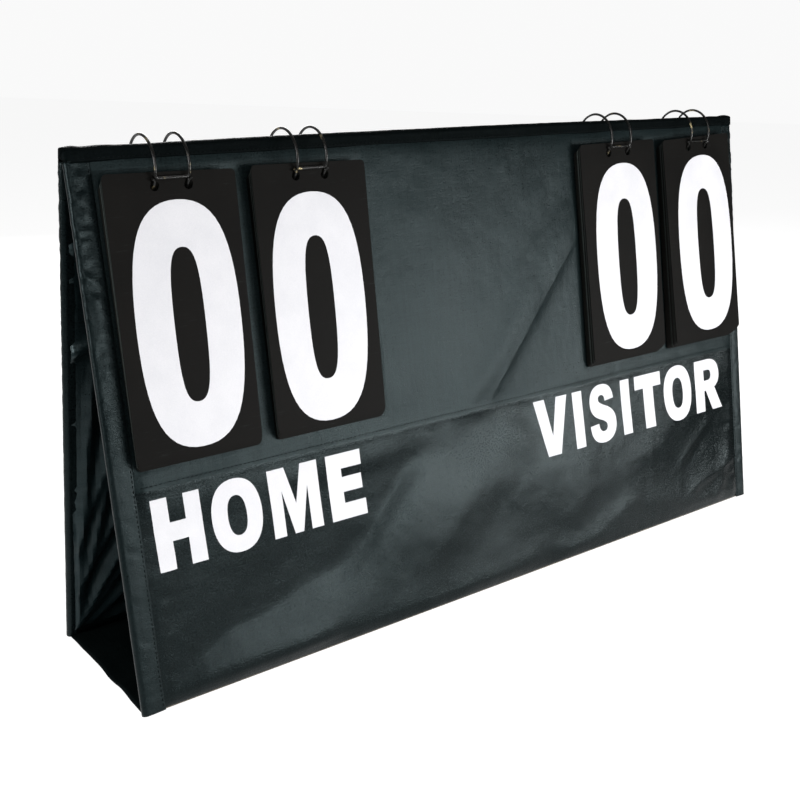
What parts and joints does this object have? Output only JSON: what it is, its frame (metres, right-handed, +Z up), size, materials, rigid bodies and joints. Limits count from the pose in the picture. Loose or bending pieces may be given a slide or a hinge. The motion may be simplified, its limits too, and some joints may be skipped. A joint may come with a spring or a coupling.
{
  "type": "tabletop flip scoreboard",
  "caption": "Folding cloth-covered tabletop scoreboard with home and visitor number cards that flip over the ridge on wire loops.",
  "frame": {"origin": "middle of the underside, where the open scoreboard stands", "axes": "+X along the ridge towards the visitor side, -Y the way the score faces, +Z up"},
  "size_m": [0.6, 0.1256, 0.3458],
  "materials": {
    "board": "plain stiffener board, covered",
    "cover_cloth": "black satin woven nylon",
    "lining_cloth": "black woven nylon, duller inside",
    "hem_cloth": "black folded and stitched nylon",
    "eyelet": "black enamel",
    "loop_wire": "glossy black coated wire",
    "card": "matte black sheet, numeral printed in white"
  },
  "bodies": {
    "front": {"front_board": "board", "front_cover": "cover_cloth", "front_lining": "lining_cloth", "front_hems": "hem_cloth", "front_eyelets": "eyelet", "ridge_cap": "cover_cloth", "base_cloth": "lining_cloth"},
    "rear": {"rear_board": "board", "rear_cover": "cover_cloth", "rear_lining": "lining_cloth", "rear_hems": "hem_cloth", "rear_eyelets": "eyelet"},
    "home_tens_0": {"card_home_tens_0": "card", "loops_home_tens": "loop_wire"},
    "home_tens_1": {"card_home_tens_1": "card"},
    "home_tens_2": {"card_home_tens_2": "card"},
    "home_tens_3": {"card_home_tens_3": "card"},
    "home_tens_4": {"card_home_tens_4": "card"},
    "home_tens_5": {"card_home_tens_5": "card"},
    "home_tens_6": {"card_home_tens_6": "card"},
    "home_tens_7": {"card_home_tens_7": "card"},
    "home_tens_8": {"card_home_tens_8": "card"},
    "home_tens_9": {"card_home_tens_9": "card"},
    "home_ones_0": {"card_home_ones_0": "card", "loops_home_ones": "loop_wire"},
    "home_ones_1": {"card_home_ones_1": "card"},
    "home_ones_2": {"card_home_ones_2": "card"},
    "home_ones_3": {"card_home_ones_3": "card"},
    "home_ones_4": {"card_home_ones_4": "card"},
    "home_ones_5": {"card_home_ones_5": "card"},
    "home_ones_6": {"card_home_ones_6": "card"},
    "home_ones_7": {"card_home_ones_7": "card"},
    "home_ones_8": {"card_home_ones_8": "card"},
    "home_ones_9": {"card_home_ones_9": "card"},
    "visitor_tens_0": {"card_visitor_tens_0": "card", "loops_visitor_tens": "loop_wire"},
    "visitor_tens_1": {"card_visitor_tens_1": "card"},
    "visitor_tens_2": {"card_visitor_tens_2": "card"},
    "visitor_tens_3": {"card_visitor_tens_3": "card"},
    "visitor_tens_4": {"card_visitor_tens_4": "card"},
    "visitor_tens_5": {"card_visitor_tens_5": "card"},
    "visitor_tens_6": {"card_visitor_tens_6": "card"},
    "visitor_tens_7": {"card_visitor_tens_7": "card"},
    "visitor_tens_8": {"card_visitor_tens_8": "card"},
    "visitor_tens_9": {"card_visitor_tens_9": "card"},
    "visitor_ones_0": {"card_visitor_ones_0": "card", "loops_visitor_ones": "loop_wire"},
    "visitor_ones_1": {"card_visitor_ones_1": "card"},
    "visitor_ones_2": {"card_visitor_ones_2": "card"},
    "visitor_ones_3": {"card_visitor_ones_3": "card"},
    "visitor_ones_4": {"card_visitor_ones_4": "card"},
    "visitor_ones_5": {"card_visitor_ones_5": "card"},
    "visitor_ones_6": {"card_visitor_ones_6": "card"},
    "visitor_ones_7": {"card_visitor_ones_7": "card"},
    "visitor_ones_8": {"card_visitor_ones_8": "card"},
    "visitor_ones_9": {"card_visitor_ones_9": "card"}
  },
  "joints": [
    {"name": "fold", "type": "hinge", "parent": "front", "child": "rear", "pos_m": [0, 0, 0.33687], "axis": [1, 0, 0], "range_deg": [-19.5, 0], "deforming": ["ridge_cap", "base_cloth"]},
    {"name": "flip_home_tens_0", "type": "hinge", "parent": "home_tens_1", "child": "home_tens_0", "pos_m": [0, 0, 0.32688], "axis": [1, 0, 0], "range_deg": [-240, 0]},
    {"name": "flip_home_ones_0", "type": "hinge", "parent": "home_ones_1", "child": "home_ones_0", "pos_m": [0, 0, 0.32688], "axis": [1, 0, 0], "range_deg": [-240, 0]},
    {"name": "flip_visitor_tens_0", "type": "hinge", "parent": "visitor_tens_1", "child": "visitor_tens_0", "pos_m": [0, 0, 0.32688], "axis": [1, 0, 0], "range_deg": [-240, 0]},
    {"name": "flip_visitor_ones_0", "type": "hinge", "parent": "visitor_ones_1", "child": "visitor_ones_0", "pos_m": [0, 0, 0.32688], "axis": [1, 0, 0], "range_deg": [-240, 0]},
    {"name": "flip_home_tens_1", "type": "hinge", "parent": "home_tens_2", "child": "home_tens_1", "pos_m": [0, 0, 0.32688], "axis": [1, 0, 0], "range_deg": [-240, 0]},
    {"name": "flip_home_ones_1", "type": "hinge", "parent": "home_ones_2", "child": "home_ones_1", "pos_m": [0, 0, 0.32688], "axis": [1, 0, 0], "range_deg": [-240, 0]},
    {"name": "flip_visitor_tens_1", "type": "hinge", "parent": "visitor_tens_2", "child": "visitor_tens_1", "pos_m": [0, 0, 0.32688], "axis": [1, 0, 0], "range_deg": [-240, 0]},
    {"name": "flip_visitor_ones_1", "type": "hinge", "parent": "visitor_ones_2", "child": "visitor_ones_1", "pos_m": [0, 0, 0.32688], "axis": [1, 0, 0], "range_deg": [-240, 0]},
    {"name": "flip_home_tens_2", "type": "hinge", "parent": "home_tens_3", "child": "home_tens_2", "pos_m": [0, 0, 0.32688], "axis": [1, 0, 0], "range_deg": [-240, 0]},
    {"name": "flip_home_ones_2", "type": "hinge", "parent": "home_ones_3", "child": "home_ones_2", "pos_m": [0, 0, 0.32688], "axis": [1, 0, 0], "range_deg": [-240, 0]},
    {"name": "flip_visitor_tens_2", "type": "hinge", "parent": "visitor_tens_3", "child": "visitor_tens_2", "pos_m": [0, 0, 0.32688], "axis": [1, 0, 0], "range_deg": [-240, 0]},
    {"name": "flip_visitor_ones_2", "type": "hinge", "parent": "visitor_ones_3", "child": "visitor_ones_2", "pos_m": [0, 0, 0.32688], "axis": [1, 0, 0], "range_deg": [-240, 0]},
    {"name": "flip_home_tens_3", "type": "hinge", "parent": "home_tens_4", "child": "home_tens_3", "pos_m": [0, 0, 0.32688], "axis": [1, 0, 0], "range_deg": [-240, 0]},
    {"name": "flip_home_ones_3", "type": "hinge", "parent": "home_ones_4", "child": "home_ones_3", "pos_m": [0, 0, 0.32688], "axis": [1, 0, 0], "range_deg": [-240, 0]},
    {"name": "flip_visitor_tens_3", "type": "hinge", "parent": "visitor_tens_4", "child": "visitor_tens_3", "pos_m": [0, 0, 0.32688], "axis": [1, 0, 0], "range_deg": [-240, 0]},
    {"name": "flip_visitor_ones_3", "type": "hinge", "parent": "visitor_ones_4", "child": "visitor_ones_3", "pos_m": [0, 0, 0.32688], "axis": [1, 0, 0], "range_deg": [-240, 0]},
    {"name": "flip_home_tens_4", "type": "hinge", "parent": "home_tens_5", "child": "home_tens_4", "pos_m": [0, 0, 0.32688], "axis": [1, 0, 0], "range_deg": [-240, 0]},
    {"name": "flip_home_ones_4", "type": "hinge", "parent": "home_ones_5", "child": "home_ones_4", "pos_m": [0, 0, 0.32688], "axis": [1, 0, 0], "range_deg": [-240, 0]},
    {"name": "flip_visitor_tens_4", "type": "hinge", "parent": "visitor_tens_5", "child": "visitor_tens_4", "pos_m": [0, 0, 0.32688], "axis": [1, 0, 0], "range_deg": [-240, 0]},
    {"name": "flip_visitor_ones_4", "type": "hinge", "parent": "visitor_ones_5", "child": "visitor_ones_4", "pos_m": [0, 0, 0.32688], "axis": [1, 0, 0], "range_deg": [-240, 0]},
    {"name": "flip_home_tens_5", "type": "hinge", "parent": "home_tens_6", "child": "home_tens_5", "pos_m": [0, 0, 0.32688], "axis": [1, 0, 0], "range_deg": [-240, 0]},
    {"name": "flip_home_ones_5", "type": "hinge", "parent": "home_ones_6", "child": "home_ones_5", "pos_m": [0, 0, 0.32688], "axis": [1, 0, 0], "range_deg": [-240, 0]},
    {"name": "flip_visitor_tens_5", "type": "hinge", "parent": "visitor_tens_6", "child": "visitor_tens_5", "pos_m": [0, 0, 0.32688], "axis": [1, 0, 0], "range_deg": [-240, 0]},
    {"name": "flip_visitor_ones_5", "type": "hinge", "parent": "visitor_ones_6", "child": "visitor_ones_5", "pos_m": [0, 0, 0.32688], "axis": [1, 0, 0], "range_deg": [-240, 0]},
    {"name": "flip_home_tens_6", "type": "hinge", "parent": "home_tens_7", "child": "home_tens_6", "pos_m": [0, 0, 0.32688], "axis": [1, 0, 0], "range_deg": [-240, 0]},
    {"name": "flip_home_ones_6", "type": "hinge", "parent": "home_ones_7", "child": "home_ones_6", "pos_m": [0, 0, 0.32688], "axis": [1, 0, 0], "range_deg": [-240, 0]},
    {"name": "flip_visitor_tens_6", "type": "hinge", "parent": "visitor_tens_7", "child": "visitor_tens_6", "pos_m": [0, 0, 0.32688], "axis": [1, 0, 0], "range_deg": [-240, 0]},
    {"name": "flip_visitor_ones_6", "type": "hinge", "parent": "visitor_ones_7", "child": "visitor_ones_6", "pos_m": [0, 0, 0.32688], "axis": [1, 0, 0], "range_deg": [-240, 0]},
    {"name": "flip_home_tens_7", "type": "hinge", "parent": "home_tens_8", "child": "home_tens_7", "pos_m": [0, 0, 0.32688], "axis": [1, 0, 0], "range_deg": [-240, 0]},
    {"name": "flip_home_ones_7", "type": "hinge", "parent": "home_ones_8", "child": "home_ones_7", "pos_m": [0, 0, 0.32688], "axis": [1, 0, 0], "range_deg": [-240, 0]},
    {"name": "flip_visitor_tens_7", "type": "hinge", "parent": "visitor_tens_8", "child": "visitor_tens_7", "pos_m": [0, 0, 0.32688], "axis": [1, 0, 0], "range_deg": [-240, 0]},
    {"name": "flip_visitor_ones_7", "type": "hinge", "parent": "visitor_ones_8", "child": "visitor_ones_7", "pos_m": [0, 0, 0.32688], "axis": [1, 0, 0], "range_deg": [-240, 0]},
    {"name": "flip_home_tens_8", "type": "hinge", "parent": "home_tens_9", "child": "home_tens_8", "pos_m": [0, 0, 0.32688], "axis": [1, 0, 0], "range_deg": [-240, 0]},
    {"name": "flip_home_ones_8", "type": "hinge", "parent": "home_ones_9", "child": "home_ones_8", "pos_m": [0, 0, 0.32688], "axis": [1, 0, 0], "range_deg": [-240, 0]},
    {"name": "flip_visitor_tens_8", "type": "hinge", "parent": "visitor_tens_9", "child": "visitor_tens_8", "pos_m": [0, 0, 0.32688], "axis": [1, 0, 0], "range_deg": [-240, 0]},
    {"name": "flip_visitor_ones_8", "type": "hinge", "parent": "visitor_ones_9", "child": "visitor_ones_8", "pos_m": [0, 0, 0.32688], "axis": [1, 0, 0], "range_deg": [-240, 0]},
    {"name": "flip_home_tens_9", "type": "hinge", "parent": "front", "child": "home_tens_9", "pos_m": [0, 0, 0.32688], "axis": [1, 0, 0], "range_deg": [-240, 0]},
    {"name": "flip_home_ones_9", "type": "hinge", "parent": "front", "child": "home_ones_9", "pos_m": [0, 0, 0.32688], "axis": [1, 0, 0], "range_deg": [-240, 0]},
    {"name": "flip_visitor_tens_9", "type": "hinge", "parent": "front", "child": "visitor_tens_9", "pos_m": [0, 0, 0.32688], "axis": [1, 0, 0], "range_deg": [-240, 0]},
    {"name": "flip_visitor_ones_9", "type": "hinge", "parent": "front", "child": "visitor_ones_9", "pos_m": [0, 0, 0.32688], "axis": [1, 0, 0], "range_deg": [-240, 0]}
  ]
}
